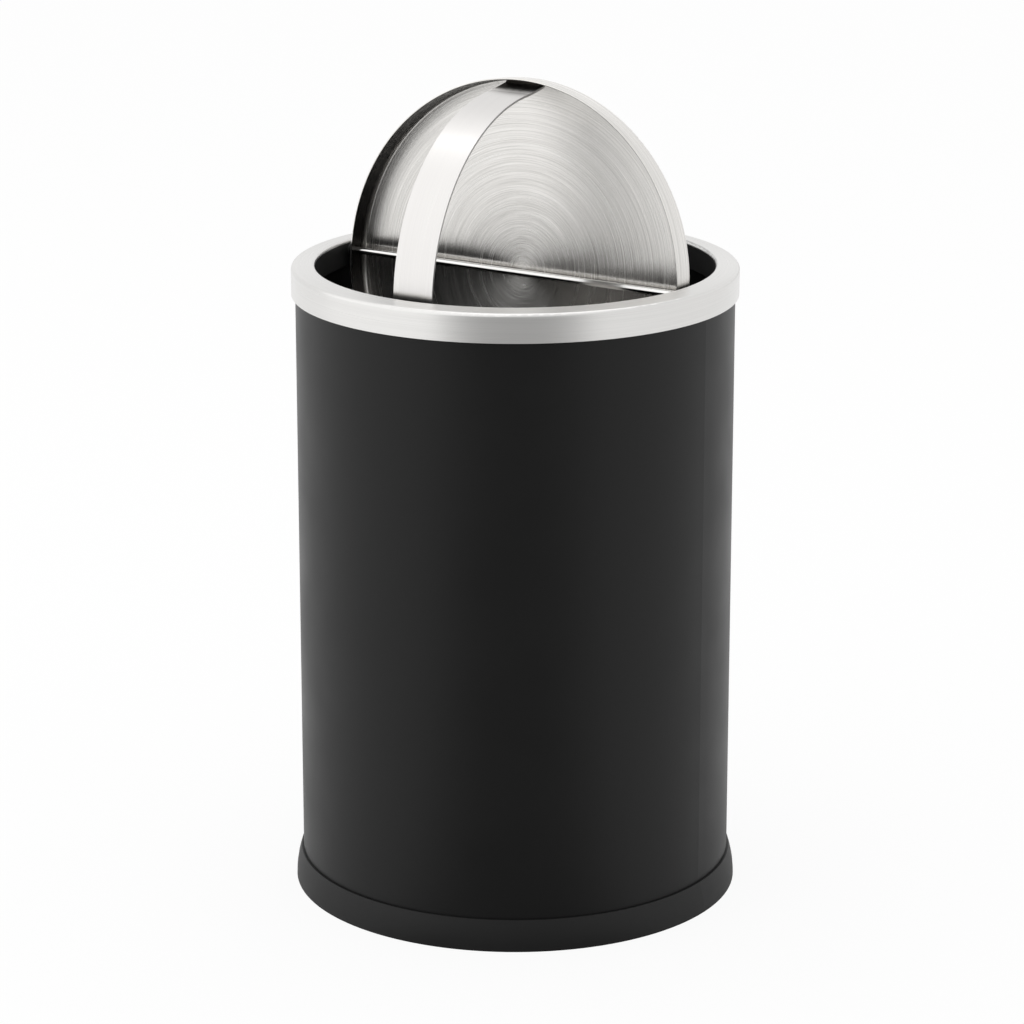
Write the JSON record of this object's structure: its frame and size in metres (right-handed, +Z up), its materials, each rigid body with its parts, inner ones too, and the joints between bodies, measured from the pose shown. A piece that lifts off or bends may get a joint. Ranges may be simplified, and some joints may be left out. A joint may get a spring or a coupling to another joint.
{
  "type": "swing-lid trash can",
  "caption": "Round black can with a flared base ring, a brushed steel top ring that lifts off, and a round pan lid with a bowed strap that turns on an axle across the opening.",
  "frame": {"origin": "on the floor, in the middle of the base ring", "axes": "+Z up along the can's axis, X along the lid's axle, -Y towards the strap side of the lid"},
  "size_m": [0.255, 0.255, 0.4658],
  "materials": {
    "shell_black": "fine matt powder coat",
    "base_black": "moulded, low sheen",
    "plate_black": "matt powder coat",
    "collar_black": "moulded, satin",
    "ring_steel": "brushed around",
    "pan_steel": "spun-brushed in circles",
    "strap_steel": "brushed along its length",
    "axle_bright": "bright drawn",
    "nylon_black": "natural moulded",
    "screw_zinc": "zinc plated"
  },
  "bodies": {
    "can": {"body_shell": "shell_black", "bottom_plate": "plate_black", "base_ring": "base_black", "base_screws": "screw_zinc"},
    "head": {"top_ring": "ring_steel", "collar": "collar_black", "pivot_bush_left": "nylon_black", "pivot_bush_right": "nylon_black"},
    "lid": {"lid_pan": "pan_steel", "lid_strap": "strap_steel", "axle_rod": "axle_bright", "lid_washer_left": "nylon_black", "lid_washer_right": "nylon_black"}
  },
  "joints": [
    {"name": "head_lift", "type": "slide", "parent": "can", "child": "head", "axis": [0, 0, 1], "range_m": [0, 0.13]},
    {"name": "lid_swing", "type": "hinge", "parent": "head", "child": "lid", "pos_m": [0, 0, 0.3572], "axis": [1, 0, 0], "continuous": true}
  ]
}
